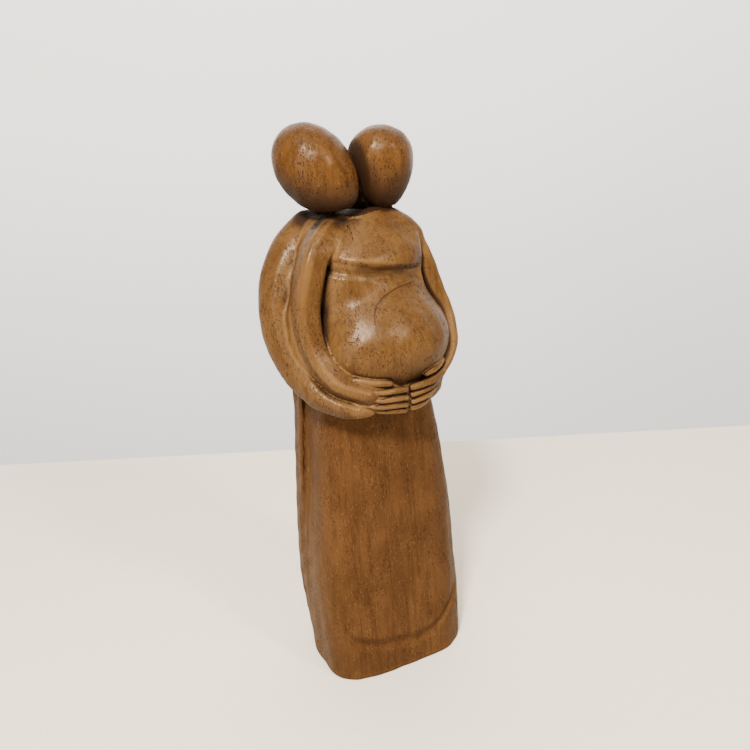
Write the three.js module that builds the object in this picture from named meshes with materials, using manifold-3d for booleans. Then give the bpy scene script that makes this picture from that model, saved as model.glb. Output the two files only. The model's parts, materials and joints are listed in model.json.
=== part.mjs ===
// A hand-carved wooden couple: a taller figure stands behind a pregnant one and holds them, with
// four arms meeting in front of the belly. Millimetres, +Z up, the figures face -Y, and +X is on the
// viewer's right. The origin is at the middle of the underside. "Right" and "left" in the names are
// the figures' own. Each carved form is a solid of its own, parted from its neighbours by a thin gap.
import * as THREE from "three";
import { mergeVertices } from "three/addons/utils/BufferGeometryUtils.js";
import Module from "manifold-3d";

const wasm = await Module();
wasm.setup();

// Driving dimensions
const GAP = 0.3; // clearance between touching forms
const PART_Y = 8; // the carved groove between the front figure and the rear figure's robe
const WAIST_Z = 152; // where the skirt ends and the trunk begins, behind the arms
const HEM_BACK_Y = 17; // the hem block ends here, and the rear robe reaches the ground behind it
const HEM_LOW_Z = 10; // lowest point of the curved hem line
const HEM_LOW_X = -4;
const HEM_CURVE = 0.0125; // how fast the hem line climbs towards both sides, per mm
const HEM_SPAN = 60; // half width over which the hem line is drawn, past both sides of the block
const SIDE_SEGMENTS = 32; // facets round a robe or trunk
const ARM_SIDES = 10;
const FINGER_SIDES = 6;
const BALL_SEGMENTS = [22, 14];
const HEAD_SEGMENTS = [20, 12];
const REACH = 400; // size of the cutting blocks, larger than the object
const FLOOR_Z = -1; // the cutting blocks start here, below the ground
const CORE = 0.5; // points of a unit drum nearer its axis than this are the middles of its ends
const WELD = 1e-4; // points closer than this are one point
const END_RINGS = [0, 0.12, 0.45]; // where a limb's rounded end has its rings, in steps from the end
const END_ROUND = 0.85; // how far a limb's end is rounded, in steps
const HEM_SEGMENTS = 16;

// Colours of the oiled hardwood: the heads and the shaded skirt are darker than the polished belly.
const WOOD = { head: 0x9a6a3e, body: 0xa4774c, arm: 0xad8254, robe: 0x84562f, hand: 0xa27a52 };
const ROUGHNESS = 0.42;

// Horizontal sections of the standing forms: height, centre x and y, half width, half depth, and how
// square the section is (2 is an ellipse, 4 nearly a rounded box).
const REAR_ROBE = [
  [0, -1.5, 13, 32.2, 15.5, 4.4],
  [20, -1.5, 13, 33.4, 15.5, 4.4],
  [43, -1.5, 13, 34.3, 15.5, 4.2],
  [80, -1.8, 13, 31.7, 15, 3.8],
  [106, -2.2, 12.5, 29.5, 15, 3.4],
  [127, -2.2, 12, 27.7, 14.8, 3],
  [150, -1.8, 11, 28.5, 15.2, 2.6],
  [175, -1.5, 10, 29.5, 15.8, 2.4],
  [192, -1.2, 9, 27.5, 15.5, 2.3],
  [203, -1, 8, 21.5, 13, 2.2],
  [209, -1.2, 7, 14, 9.5, 2.1],
  [214, -2, 6, 9, 7, 2],
];
const FRONT_SKIRT = [
  [4, -1.2, -2, 36.7, 22, 4],
  [20, -1.2, -2, 37.2, 22, 4],
  [50, -0.7, -2, 36.3, 21.8, 3.9],
  [77, -0.2, -2, 33.6, 21.5, 3.7],
  [100, -0.8, -2, 30.1, 21, 3.5],
  [125, -1.6, -2, 26.9, 20.2, 3.2],
  [WAIST_Z, -1.5, -3, 24.5, 19, 2.7],
];
const HEM_BLOCK = [
  [0, -1.2, -2.1, 37.2, 23, 4],
  [14, -1.2, -2.1, 37.7, 23, 4],
  [26, -1.1, -2.1, 37.6, 22.8, 4],
  [50, -0.9, -2.1, 36.9, 22.6, 4],
];
const TRUNK = [
  [WAIST_Z, -0.5, -3, 25, 18.5, 2.5],
  [175, -0.5, -3, 25.5, 18.5, 2.4],
  [192, -0.5, -3.5, 24, 19, 2.3],
  [202, -0.3, -4, 20.5, 16, 2.2],
  [209, 0, -4, 14, 11, 2.1],
  [214, 0, -3, 9, 7, 2],
];

// Limbs: points along the middle with the radius there, from the shoulder to the finger tips.
const REAR_RIGHT_ARM = [
  [-9, 7.5, 209.8, 6],
  [-18.8, 7.5, 206, 7.5],
  [-28.2, 6, 198, 8.4],
  [-34.9, 2.5, 185, 8.7],
  [-37.2, -2, 170.5, 8.4],
  [-35.4, -9.5, 157, 7.7],
  [-30.2, -18.5, 146.6, 6.4],
  [-23.8, -26, 142, 4.9],
  [-15, -32, 139.2, 3],
];
const REAR_LEFT_ARM = [
  [8, 8, 208, 5.5],
  [17.5, 8, 203.8, 7.1],
  [24.5, 5.8, 195, 7.5],
  [28.5, 1.5, 182, 7.4],
  [32.2, -3, 167, 7.2],
  [30.6, -9.3, 154.8, 6.8],
  [19.5, -19.5, 145.8, 5],
  [14.3, -27, 142.4, 4.2],
  [6, -33, 141.2, 3],
];
const FRONT_RIGHT_ARM = [
  [-13, -4, 208, 5],
  [-18.5, -8, 205, 5.9],
  [-24.7, -11.5, 199, 6.1],
  [-29, -13.5, 189.5, 6.2],
  [-31.7, -15.5, 177, 6],
  [-31, -19.5, 164.3, 5.9],
  [-26.2, -26, 154, 6.1],
  [-20.6, -30, 149.8, 6.1],
  [-14.3, -32, 147.4, 5.8],
  [-8.5, -33.4, 146.6, 4.8],
];
const FRONT_LEFT_ARM = [
  [12, -4, 207, 5],
  [19, -6.5, 201.5, 5.8],
  [24.7, -8.8, 190, 5.8],
  [28, -11, 177, 5.7],
  [30.2, -14.5, 165, 5.7],
  [27.2, -21, 155.2, 5.4],
  [19.6, -27, 148.6, 4.8],
  [12, -31.5, 146, 4.1],
];
const RIGHT_PALM = [
  [-14.4, -31.6, 146.2, 5.9],
  [-7.5, -33.2, 143.9, 5.4],
  [-4, -33.5, 143, 5],
];
const LEFT_PALM = [
  [4.5, -33.3, 142, 4.7],
  [9, -31.8, 141.9, 4.7],
  [16, -28, 142.8, 4.7],
];
// Fingers lie side by side on the palms, the first one uppermost.
const RIGHT_FINGERS = [
  [
    [-15.4, -37.2, 149, 1.5],
    [-10.2, -38, 148.4, 1.5],
    [-5, -38.1, 148.1, 1.6],
    [-1.6, -37.7, 147.4, 1.6],
  ],
  [
    [-16, -37.2, 146.1, 1.35],
    [-10.5, -38.3, 145.5, 1.35],
    [-5.8, -38.8, 145.2, 1.4],
    [-1.9, -38.6, 144.4, 1.4],
  ],
  [
    [-16.1, -37, 143.4, 1.3],
    [-10.7, -38.1, 142.8, 1.3],
    [-6, -38.7, 142.5, 1.3],
    [-2.4, -38.8, 141.7, 1.3],
  ],
  [
    [-15.1, -36.1, 140.8, 1.25],
    [-10.4, -37.1, 140.2, 1.25],
    [-5.8, -38, 139.9, 1.25],
    [-2.8, -38.3, 139.1, 1.2],
  ],
];
const LEFT_FINGERS = [
  [
    [16.8, -35, 148.4, 1.5],
    [11.2, -36.7, 148, 1.5],
    [5.7, -37.7, 147.8, 1.5],
    [1.6, -37.7, 147.6, 1.5],
  ],
  [
    [13, -35.8, 145.5, 1.3],
    [7.2, -37.5, 145.1, 1.35],
    [3.7, -38, 144.9, 1.35],
    [1.3, -38.3, 144.8, 1.35],
  ],
  [
    [10.5, -36.6, 142.7, 1.25],
    [5.8, -38.1, 142.4, 1.3],
    [3, -38.5, 142.2, 1.3],
    [1, -38.7, 142.1, 1.3],
  ],
  [
    [9, -36, 140.1, 1.15],
    [5, -37.8, 139.7, 1.2],
    [2.6, -38.4, 139.5, 1.2],
    [0.6, -38.5, 139.4, 1.2],
  ],
];
const RIGHT_THUMB = [
  [-17, -33.6, 153.4, 1.9],
  [-12, -35.8, 152, 1.8],
  [-8, -36.6, 151.2, 1.7],
];
const LEFT_THUMB = [
  [18, -32.6, 152.6, 2],
  [13.4, -34.4, 151.4, 1.7],
  [9.6, -35.4, 150.8, 1.4],
];
const REAR_NECK = [
  [-9, 3, 206, 8],
  [-11, 2, 218, 7],
];
const FRONT_NECK = [
  [8, 0, 204, 7.5],
  [9, -1, 217, 6.5],
];

// Faceless egg heads: the chin is the narrow end, and the taper says how much narrower it is.
const REAR_HEAD = {
  centre: [-15.3, -0.8, 230.9],
  chin: [0.45, -0.41, -0.79],
  half: 19.2,
  radius: 14.1,
  taper: 0.06,
};
const FRONT_HEAD = {
  centre: [12.35, -2, 228.7],
  chin: [-0.03, -0.17, -0.99],
  half: 16.4,
  radius: 12.6,
  taper: 0.2,
};

// Rounded masses of the front figure, and the sloping planes that trim them.
const BELLY = { centre: [0.6, -12, 163], radii: [30, 26, 24.3], trimZ: 186, slope: 0.13 };
const CHEST = { centre: [-0.5, -4.5, 199], radii: [24, 21.5, 15.5], trimZ: 190, slope: 0.17 };

function solidFrom(geometry) {
  const bare = geometry.index ? geometry.toNonIndexed() : geometry.clone();
  bare.deleteAttribute("normal");
  bare.deleteAttribute("uv");
  const merged = mergeVertices(bare, WELD);
  return new wasm.Manifold(
    new wasm.Mesh({
      numProp: 3,
      vertProperties: new Float32Array(merged.attributes.position.array),
      triVerts: new Uint32Array(merged.index.array),
    }),
  );
}

function geometryFrom(solid) {
  const mesh = solid.getMesh();
  const geometry = new THREE.BufferGeometry();
  geometry.setAttribute("position", new THREE.BufferAttribute(new Float32Array(mesh.vertProperties), 3));
  geometry.setIndex(new THREE.BufferAttribute(new Uint32Array(mesh.triVerts), 1));
  geometry.computeVertexNormals();
  return geometry;
}

// A closed drum of unit radius about +Z, from z = 0 to z = 1, ready to be reshaped ring by ring.
function unitDrum(heights, segments) {
  const rings = heights.map((height) => new THREE.Vector2(1, height));
  const profile = [new THREE.Vector2(0, 0), ...rings, new THREE.Vector2(0, 1)];
  return new THREE.LatheGeometry(profile, segments).rotateX(Math.PI / 2);
}

function reshape(geometry, place) {
  const position = geometry.attributes.position;
  const point = new THREE.Vector3();
  for (let i = 0; i < position.count; i++) {
    point.fromBufferAttribute(position, i);
    place(point);
    position.setXYZ(i, point.x, point.y, point.z);
  }
  return geometry;
}

// A standing form lofted through its sections.
function column(rows, grow) {
  const foot = rows[0][0];
  const rise = rows[rows.length - 1][0] - foot;
  const heights = rows.map((row) => (row[0] - foot) / rise);
  const drum = unitDrum(heights, SIDE_SEGMENTS);
  return solidFrom(
    reshape(drum, (point) => {
      const level = heights.findIndex((height) => height >= point.z - WELD);
      const [, cx, cy, a, b, square] = rows[level];
      const onAxis = Math.hypot(point.x, point.y) < CORE;
      const power = 2 / square;
      if (!onAxis) {
        point.x = (a + grow) * Math.sign(point.x) * Math.abs(point.x) ** power;
        point.y = (b + grow) * Math.sign(point.y) * Math.abs(point.y) ** power;
      }
      point.x += cx;
      point.y += cy;
      if (point.z === 1) point.z += grow / rise;
      if (point.z === 0) point.z -= grow / rise;
      point.z = foot + point.z * rise;
    }),
  );
}

// A limb of changing thickness swept along a smooth curve, with rounded ends.
function limb(points, grow, sides, across) {
  const curve = new THREE.CatmullRomCurve3(points.map(([x, y, z]) => new THREE.Vector3(x, y, z)));
  const radii = new THREE.SplineCurve(points.map((point, i) => new THREE.Vector2(i, point[3])));
  const steps = (points.length - 1) * 2;
  const heights = END_RINGS.map((share) => share / steps);
  for (let i = 1; i < steps; i++) heights.push(i / steps);
  heights.push(...END_RINGS.map((share) => 1 - share / steps).reverse());
  const drum = unitDrum(heights, sides);
  return solidFrom(
    reshape(drum, (point) => {
      const t = THREE.MathUtils.clamp(point.z, 0, 1);
      const nearEnd = Math.min(t, 1 - t) * steps;
      const round = Math.sqrt(1 - Math.max(0, END_ROUND - nearEnd) ** 2);
      const middle = curve.getPoint(t);
      const along = curve.getTangent(t);
      const sideways = new THREE.Vector3().crossVectors(across, along).normalize();
      const upward = new THREE.Vector3().crossVectors(along, sideways);
      const radius = (radii.getPoint(t).y + grow) * round;
      middle.addScaledVector(along, grow * Math.sign(t - 0.5));
      const { x, y } = point;
      point.copy(middle).addScaledVector(sideways, x * radius).addScaledVector(upward, y * radius);
    }),
  );
}

function egg({ centre, chin, half, radius, taper }, grow) {
  const [segments, rings] = HEAD_SEGMENTS;
  const profile = [];
  for (let i = 0; i <= rings; i++) {
    const along = -Math.cos((Math.PI * i) / rings);
    const narrow = 1 - taper * along;
    const width = i % rings ? (radius + grow) * narrow * Math.sqrt(1 - along * along) : 0;
    profile.push(new THREE.Vector2(width, along * (half + grow)));
  }
  const geometry = new THREE.LatheGeometry(profile, segments);
  const towardsChin = new THREE.Vector3(...chin).normalize();
  const turn = new THREE.Quaternion().setFromUnitVectors(new THREE.Vector3(0, 1, 0), towardsChin);
  geometry.applyQuaternion(turn);
  return solidFrom(geometry.translate(...centre));
}

function block(minimum, maximum) {
  const size = maximum.map((value, i) => value - minimum[i]);
  const centre = maximum.map((value, i) => (value + minimum[i]) / 2);
  return solidFrom(new THREE.BoxGeometry(...size).translate(...centre));
}

// The half space above (side 1) or below (side -1) a plane that climbs towards the figures' right.
function slopingHalf({ trimZ, slope }, side, grow) {
  const geometry = new THREE.BoxGeometry(REACH, REACH, REACH);
  geometry.translate(0, 0, (side * REACH) / 2);
  geometry.rotateY(Math.atan(slope));
  return solidFrom(geometry.translate(0, 0, trimZ + side * grow));
}

// Everything under the hem line, a parabola seen from the front that climbs towards both sides.
function underHem(grow) {
  const rise = HEM_CURVE * HEM_SPAN ** 2;
  const low = HEM_LOW_Z + grow;
  const outline = new THREE.Shape();
  outline.moveTo(HEM_LOW_X - HEM_SPAN, FLOOR_Z);
  outline.lineTo(HEM_LOW_X + HEM_SPAN, FLOOR_Z);
  outline.lineTo(HEM_LOW_X + HEM_SPAN, low + rise);
  outline.quadraticCurveTo(HEM_LOW_X, low - rise, HEM_LOW_X - HEM_SPAN, low + rise);
  const options = { depth: REACH, curveSegments: HEM_SEGMENTS, bevelEnabled: false };
  const geometry = new THREE.ExtrudeGeometry(outline, options);
  return solidFrom(geometry.rotateX(Math.PI / 2).translate(0, REACH / 2, 0));
}

function hemBlock(grow) {
  return column(HEM_BLOCK, grow).intersect(underHem(grow)).intersect(aheadOfRobe(grow));
}

function frontSkirt(grow) {
  return column(FRONT_SKIRT, grow).intersect(front(grow)).subtract(underHem(GAP));
}

function ball({ centre, radii }, grow) {
  const geometry = new THREE.SphereGeometry(1, ...BALL_SEGMENTS);
  geometry.scale(...radii.map((radius) => radius + grow));
  return solidFrom(geometry.translate(...centre));
}

function belly(grow) {
  return ball(BELLY, grow).subtract(slopingHalf(BELLY, 1, grow));
}

function chest(grow) {
  return ball(CHEST, grow).subtract(slopingHalf(CHEST, -1, grow));
}

const RIGHT_SIDE = new THREE.Vector3(1, 1, 0).normalize();
const LEFT_SIDE = new THREE.Vector3(-1, 1, 0).normalize();
const UPRIGHT = new THREE.Vector3(0, 0, 1);
const SIDEWAYS = new THREE.Vector3(1, 0, 0);

const front = (grow) => block([-REACH, -REACH, FLOOR_Z], [REACH, PART_Y + grow, REACH]);
const rear = block([-REACH, PART_Y + GAP, FLOOR_Z], [REACH, REACH, REACH]);
const aheadOfRobe = (grow) => block([-REACH, -REACH, FLOOR_Z], [REACH, HEM_BACK_Y + grow, REACH]);

// Every form in carving order: a form gives way to all those above it in this list.
const FORMS = [];

function addForm(name, colour, make) {
  FORMS.push({ name, colour, make });
}

addForm("rear_head", WOOD.head, (grow) => egg(REAR_HEAD, grow));
addForm("front_head", WOOD.head, (grow) => egg(FRONT_HEAD, grow));
RIGHT_FINGERS.forEach((points, i) => {
  addForm(`front_right_finger_${i + 1}`, WOOD.hand, (grow) => limb(points, grow, FINGER_SIDES, UPRIGHT));
});
LEFT_FINGERS.forEach((points, i) => {
  addForm(`front_left_finger_${i + 1}`, WOOD.hand, (grow) => limb(points, grow, FINGER_SIDES, UPRIGHT));
});
addForm("front_right_thumb", WOOD.hand, (grow) => limb(RIGHT_THUMB, grow, FINGER_SIDES, UPRIGHT));
addForm("front_left_thumb", WOOD.hand, (grow) => limb(LEFT_THUMB, grow, FINGER_SIDES, UPRIGHT));
addForm("front_right_palm", WOOD.hand, (grow) => limb(RIGHT_PALM, grow, ARM_SIDES, UPRIGHT));
addForm("front_left_palm", WOOD.hand, (grow) => limb(LEFT_PALM, grow, ARM_SIDES, UPRIGHT));
addForm("front_right_arm", WOOD.arm, (grow) => limb(FRONT_RIGHT_ARM, grow, ARM_SIDES, RIGHT_SIDE));
addForm("front_left_arm", WOOD.arm, (grow) => limb(FRONT_LEFT_ARM, grow, ARM_SIDES, LEFT_SIDE));
addForm("rear_right_arm", WOOD.arm, (grow) => limb(REAR_RIGHT_ARM, grow, ARM_SIDES, RIGHT_SIDE));
addForm("rear_left_arm", WOOD.arm, (grow) => limb(REAR_LEFT_ARM, grow, ARM_SIDES, LEFT_SIDE));
addForm("belly", WOOD.body, belly);
addForm("rear_neck", WOOD.body, (grow) => limb(REAR_NECK, grow, ARM_SIDES, SIDEWAYS));
addForm("front_neck", WOOD.body, (grow) => limb(FRONT_NECK, grow, ARM_SIDES, SIDEWAYS));
addForm("chest", WOOD.body, (grow) => chest(grow).intersect(front(grow)));
addForm("trunk", WOOD.body, (grow) => column(TRUNK, grow).intersect(front(grow)));
addForm("hem_block", WOOD.robe, hemBlock);
addForm("front_skirt", WOOD.robe, frontSkirt);
addForm("rear_robe", WOOD.robe, (grow) => column(REAR_ROBE, grow).intersect(rear));

// Cutting can leave loose chips, so each form keeps only its largest body.
function largestBody(solid) {
  return solid.decompose().reduce((best, body) => (body.volume() > best.volume() ? body : best));
}

const couple = new THREE.Group();
const carved = [];
for (const { name, colour, make } of FORMS) {
  let solid = make(0);
  for (const neighbour of carved) solid = solid.subtract(neighbour);
  carved.push(make(GAP));
  const material = new THREE.MeshStandardMaterial({ color: colour, roughness: ROUGHNESS, metalness: 0 });
  const mesh = new THREE.Mesh(geometryFrom(largestBody(solid)), material);
  mesh.name = name;
  couple.add(mesh);
}

export default couple;
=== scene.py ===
"""A hand-carved wooden couple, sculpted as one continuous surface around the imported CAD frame.

The carving is described by a distance field in millimetres: every form of the CAD model is a
rounded solid, and the forms are merged or parted the way the carver's tools did it. The field is
then meshed once, and each CAD node gets the part of the surface that belongs to it, so the wood has
no seams.
"""
import json
import math

import bpy
import numpy as np
from mathutils import Matrix, Vector


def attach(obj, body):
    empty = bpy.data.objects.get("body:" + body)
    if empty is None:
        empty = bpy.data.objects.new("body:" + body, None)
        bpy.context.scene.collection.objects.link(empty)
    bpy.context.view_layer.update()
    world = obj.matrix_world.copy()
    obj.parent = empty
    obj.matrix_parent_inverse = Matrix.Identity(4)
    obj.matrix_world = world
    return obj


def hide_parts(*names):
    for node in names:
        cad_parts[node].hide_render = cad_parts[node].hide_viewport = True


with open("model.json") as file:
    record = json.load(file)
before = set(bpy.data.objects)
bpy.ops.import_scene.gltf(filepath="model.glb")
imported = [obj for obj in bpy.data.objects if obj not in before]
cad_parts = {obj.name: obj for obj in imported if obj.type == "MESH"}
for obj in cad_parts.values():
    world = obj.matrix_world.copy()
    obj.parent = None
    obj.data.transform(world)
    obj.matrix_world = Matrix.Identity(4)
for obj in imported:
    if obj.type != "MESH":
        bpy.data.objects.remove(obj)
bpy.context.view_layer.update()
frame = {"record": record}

MM = 0.001
FAR = 12.0  # distance given to points that lie outside a form's window
EVERYWHERE = (-99, -99, -99), (99, 99, 999)  # a window that holds the whole carving
FOOT_ROUND = 1.2  # softness of the edge round the underside

# ---------------------------------------------------------------------------------------------
# The carved forms, in millimetres, as in the CAD model: +Z up, the figures face -Y
# ---------------------------------------------------------------------------------------------

# Standing forms: height, centre x and y, half width, half depth, squareness of the section.
REAR_ROBE = [
    (-12, -1.5, 13, 31.2, 15.5, 4.2),
    (0, -1.5, 13, 31.9, 15.5, 4.4),
    (20, -1.5, 13, 33.4, 15.5, 4.4),
    (43, -1.5, 13, 34.6, 15.5, 4.2),
    (80, -1.8, 13, 31.9, 15, 3.8),
    (106, -2.2, 12.5, 29.8, 15, 3.4),
    (127, -2.2, 12, 28, 14.8, 3),
    (150, -1.8, 11, 28.6, 15.2, 2.6),
    (175, -1.5, 10, 29.5, 15.8, 2.4),
    (192, -1.2, 9, 27.5, 15.5, 2.3),
    (203, -1, 8, 21.5, 13, 2.2),
    (209, -1.2, 7, 14, 9.5, 2.1),
    (214, -2, 6, 9, 7, 2),
]
FRONT_SKIRT = [
    (-12, -0.6, -2, 35.9, 23.1, 3.6),
    (0, -0.6, -2, 36.2, 23.6, 3.6),
    (20, -0.6, -2, 36.5, 23.2, 3.8),
    (50, -0.5, -2, 36.2, 22, 3.9),
    (77, -0.2, -2, 33.8, 21.7, 3.7),
    (100, -0.8, -2, 30.4, 21.2, 3.5),
    (125, -1.6, -2, 27.2, 20.4, 3.2),
    (150, -1.5, -3, 24.2, 19.2, 2.8),
    (165, -0.5, -4, 20, 16, 2.4),
]
# A broad flat is cut off the front corner on the figures' left: direction and distance from the
# middle, how softly it meets the front, and how much further out it stands at the foot.
CORNER_FLAT = (0.8, -0.6, 35.2)
FLAT_ROUND = 9
FLAT_FOOT, FLAT_FOOT_FADE = 1.3, (55, 15)
# Towards the foot the front turns a little about an upright line, forward on the figures' left.
FOOT_TURN, TURN_X, TURN_FADE = 0.03, -20, (70, 20)
ROBE_FRONT_Y, ROBE_EDGE = 6.8, 1.5  # the robe ends at this plane, with an edge of this softness
TRUNK = [
    (120, -1, -2, 22, 18, 2.6),
    (150, 0, -3, 25, 18.8, 2.6),
    (175, 0, -3, 25.5, 19, 2.8),
    (187, 0, -3, 24, 18.5, 2.8),
    (196, 0, -3, 21.5, 17.4, 2.6),
    (202, -0.3, -3, 19.5, 14, 2.3),
    (207.5, 0, -2, 14, 10, 2.1),
    (211.5, 0, -1, 9, 7, 2),
]

# Limbs: points along the middle with the radius there, from the shoulder to the finger tips.
REAR_RIGHT_ARM = [
    (-9, 7, 211, 6.8),
    (-18.8, 7.5, 206.6, 7.8),
    (-28.2, 6, 198, 8.5),
    (-34.9, 2.5, 185, 8.8),
    (-37.2, -2, 170.5, 8.5),
    (-35.4, -9.5, 157, 7.8),
    (-30.8, -19.8, 147.2, 6.4),
    (-24.7, -28, 143, 4.9),
    (-20.6, -31.9, 141.6, 3.8),
    (-16.9, -34, 141.2, 2.7),
]
REAR_LEFT_ARM = [
    (8, 8, 208, 5.5),
    (17.5, 8, 203.8, 7.2),
    (24.5, 5.8, 195, 7.7),
    (28.5, 1.5, 182, 7.5),
    (32.2, -3, 167, 7.3),
    (30.6, -9.3, 154.8, 6.8),
    (19.5, -19.5, 145.8, 5),
    (14.3, -27, 142.4, 4.3),
    (6, -33, 141.2, 3),
]
FRONT_RIGHT_ARM = [
    (-13, -4, 209, 5),
    (-18.5, -8, 206, 6),
    (-24.7, -11.5, 199.5, 6.2),
    (-29, -13.5, 189.5, 6.2),
    (-31.7, -15.5, 177, 6),
    (-31, -19.5, 164.3, 5.9),
    (-26.2, -26, 154, 6.1),
    (-20.6, -30, 149.8, 6.1),
    (-14.3, -32, 147.4, 6),
    (-8.5, -33.4, 146.6, 5),
]
FRONT_LEFT_ARM = [
    (12, -3, 208.5, 5),
    (19, -6, 202, 5.8),
    (24.7, -8.5, 190, 5.8),
    (28, -11, 177, 5.7),
    (30.2, -14.5, 165, 5.8),
    (27.4, -21, 155.5, 5.9),
    (20.4, -26.8, 148.8, 5),
    (12, -31.5, 145.5, 4.2),
]
# Each arm is carved to a soft ridge: the way it points, and how near its flats lie to the middle,
# as a share of the radius.
RIDGE_ROUND, FLATS_ROUND = 1.1, 0.8  # softness of the ridge, and of where its flats end
REAR_RIDGE = ((-0.35, -0.9, 0.2), 0.95)
FRONT_RIGHT_RIDGE = ((-0.64, -0.76, 0.25), 0.84)
FRONT_LEFT_RIDGE = ((0.7, -0.7, 0.25), 0.84)
RIGHT_PALM = [
    (-14.4, -31.6, 146.2, 5.9),
    (-6.7, -33.3, 143.7, 5.2),
    (-0.4, -33.7, 142, 4.5),
]
LEFT_PALM = [
    (2.8, -33.7, 142, 4.4),
    (9, -31.8, 141.8, 4.6),
    (15.5, -28.4, 142.8, 4.5),
]
# Fingers lie side by side on the palms, the first one uppermost.
RIGHT_FINGERS = [
    [
        (-18, -34.6, 149.4, 1.5),
        (-12.5, -37.6, 148.7, 1.5),
        (-5, -38.1, 148.1, 1.6),
        (-1.6, -37.7, 147.4, 1.6),
    ],
    [
        (-18.5, -34.6, 146.4, 1.4),
        (-12.5, -38, 145.7, 1.4),
        (-5.8, -38.8, 145.2, 1.5),
        (-1.9, -38.6, 144.4, 1.5),
    ],
    [
        (-18.5, -34.4, 143.6, 1.4),
        (-12.5, -37.8, 143, 1.4),
        (-6, -38.7, 142.5, 1.4),
        (-2.4, -38.8, 141.7, 1.4),
    ],
    [
        (-15.5, -33.8, 141.6, 1.2),
        (-11.5, -36.6, 140.5, 1.3),
        (-5.8, -38, 139.9, 1.3),
        (-2.8, -38.3, 139.1, 1.3),
    ],
]
LEFT_FINGERS = [
    [
        (18, -33.2, 148.8, 1.6),
        (11.8, -36.5, 148.1, 1.6),
        (5.7, -37.7, 147.8, 1.6),
        (1.6, -37.7, 147.6, 1.6),
    ],
    [
        (16, -33.2, 146, 1.3),
        (9.6, -36.8, 145.3, 1.4),
        (3.7, -38, 144.9, 1.5),
        (1.3, -38.3, 144.8, 1.5),
    ],
    [
        (14, -34, 143.2, 1.3),
        (8, -37.4, 142.6, 1.4),
        (3, -38.5, 142.2, 1.4),
        (1, -38.7, 142.1, 1.4),
    ],
    [
        (12, -34, 140.6, 1.2),
        (6.8, -37.2, 139.9, 1.3),
        (2.6, -38.4, 139.5, 1.3),
        (0.6, -38.5, 139.4, 1.3),
    ],
]
RIGHT_THUMB = [(-20, -30.8, 153.6, 2.2), (-13.6, -34.6, 152, 2), (-8, -36.4, 151.1, 1.8)]
LEFT_THUMB = [(19.5, -29.8, 152.8, 2), (13.8, -34, 151.5, 1.8), (9.6, -35.4, 150.8, 1.4)]
REAR_NECK = [(-9, 6.5, 200, 6.3), (-10, 6.5, 221, 6.3)]
FRONT_NECK = [(6, 5.5, 200, 6.3), (7, 5.5, 221, 6.3)]

# Faceless egg heads: centre, the way the narrow chin end points, half length, radius, how it
# narrows, and the height at which the chin is cut flat.
REAR_HEAD = ((-15.3, -0.8, 230.9), (0.45, -0.41, -0.79), 19.9, 14.4, 0.06, 215)
FRONT_HEAD = ((12.35, -2, 228.7), (-0.03, -0.17, -0.99), 16.6, 12.8, 0.236, 211)
CHIN_ROUND = 4  # softness of the edge round the flat chin

# Belly and bust: centre, radii, how far it reaches up, and squareness.
BELLY = ((0.6, -11.5, 162.7), (30, 26.5, 26.5), 31, 2.2)
CHEST = ((-0.3, -4, 197.5), (24.5, 19.6, 16), 16, 2.3)
# Both slope back above their fullest line, like cones round an upright line: how much the width
# counts, the line's place in x, the slope's outward and upward lean, its distance, and how softly
# it turns into the front.
BELLY_SLOPE = (1.1, 0.6, 0.751, 0.66, 139.9, 5)
CHEST_SLOPE = (0.82, 4, 0.733, 0.68, 151.2, 3)
# The bust ends in a line that falls towards the figures' left: its height at x = 0 and its slope.
BUST_LINE, BUST_EDGE = (192.6, 0.22), 3.0
# A hollow runs along that line: its depth, how far it reaches up and down, the heights between
# which it has its full depth, and where it fades out towards the figures' left and the back.
BUST_DEPTH, BUST_LIP, BELLY_LIP = 0.9, 3.5, 5.5
BUST_BED = (-2.5, 0.5)
BUST_FADE_X, BUST_FADE_Y = (21, 16), (-2, -10)

# The hem is a carved step: its height along x.
HEM_LINE = [
    (-46, 38),
    (-34.6, 32),
    (-30.8, 25.5),
    (-27, 19.8),
    (-18, 15.6),
    (-6, 13.6),
    (5, 12),
    (12, 14),
    (19, 20),
    (24, 25),
    (28, 30),
    (46, 60),
]
HEM_BACK_Y = 17.0
HEM_CLAIM = 1.5  # how far the block's share reaches out past the skirt
# The hollow above the step: its depth, how far it reaches up and down, where it has its full depth,
# and where it fades out towards the figures' right, towards the back and up the skirt.
HEM_DEPTH, HEM_REACH, HEM_LIP, HEM_BED = 1.15, 6.5, 2.2, 0.5
HEM_FADE_X, HEM_FADE_Y, HEM_FADE_Z = (-38, -20), (0, -10), (35, 20)
# How far the block stands out below the step. The step is crisp in front and soft at both sides.
HEM_PROUD = 0.4
STEP_SOFT, STEP_SOFTER, STEP_RIGHT, STEP_LEFT = 2.5, 9, (-24, -36), (27, 35)


def smooth_min(a, b, k):
    h = np.clip(0.5 + 0.5 * (b - a) / k, 0, 1)
    return b + (a - b) * h - k * h * (1 - h)


def smooth_max(a, b, k):
    return -smooth_min(-a, -b, k)


def smooth_step(low, high, value):
    t = np.clip((value - low) / (high - low), 0, 1)
    return t * t * (3 - 2 * t)


def through(points, steps):
    """A Catmull-Rom curve through the rows, with that many steps between each two."""
    rows = np.array(points, float)
    rows = np.vstack([2 * rows[0] - rows[1], rows, 2 * rows[-1] - rows[-2]])
    curve = []
    for a, b, c, d in zip(rows, rows[1:], rows[2:], rows[3:]):
        for t in np.arange(steps) / steps:
            square, cube = 2 * a - 5 * b + 4 * c - d, 3 * b - a - 3 * c + d
            curve.append(0.5 * (2 * b + (c - a) * t + square * t**2 + cube * t**3))
    curve.append(rows[-2])
    return np.array(curve, np.float32)


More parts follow.
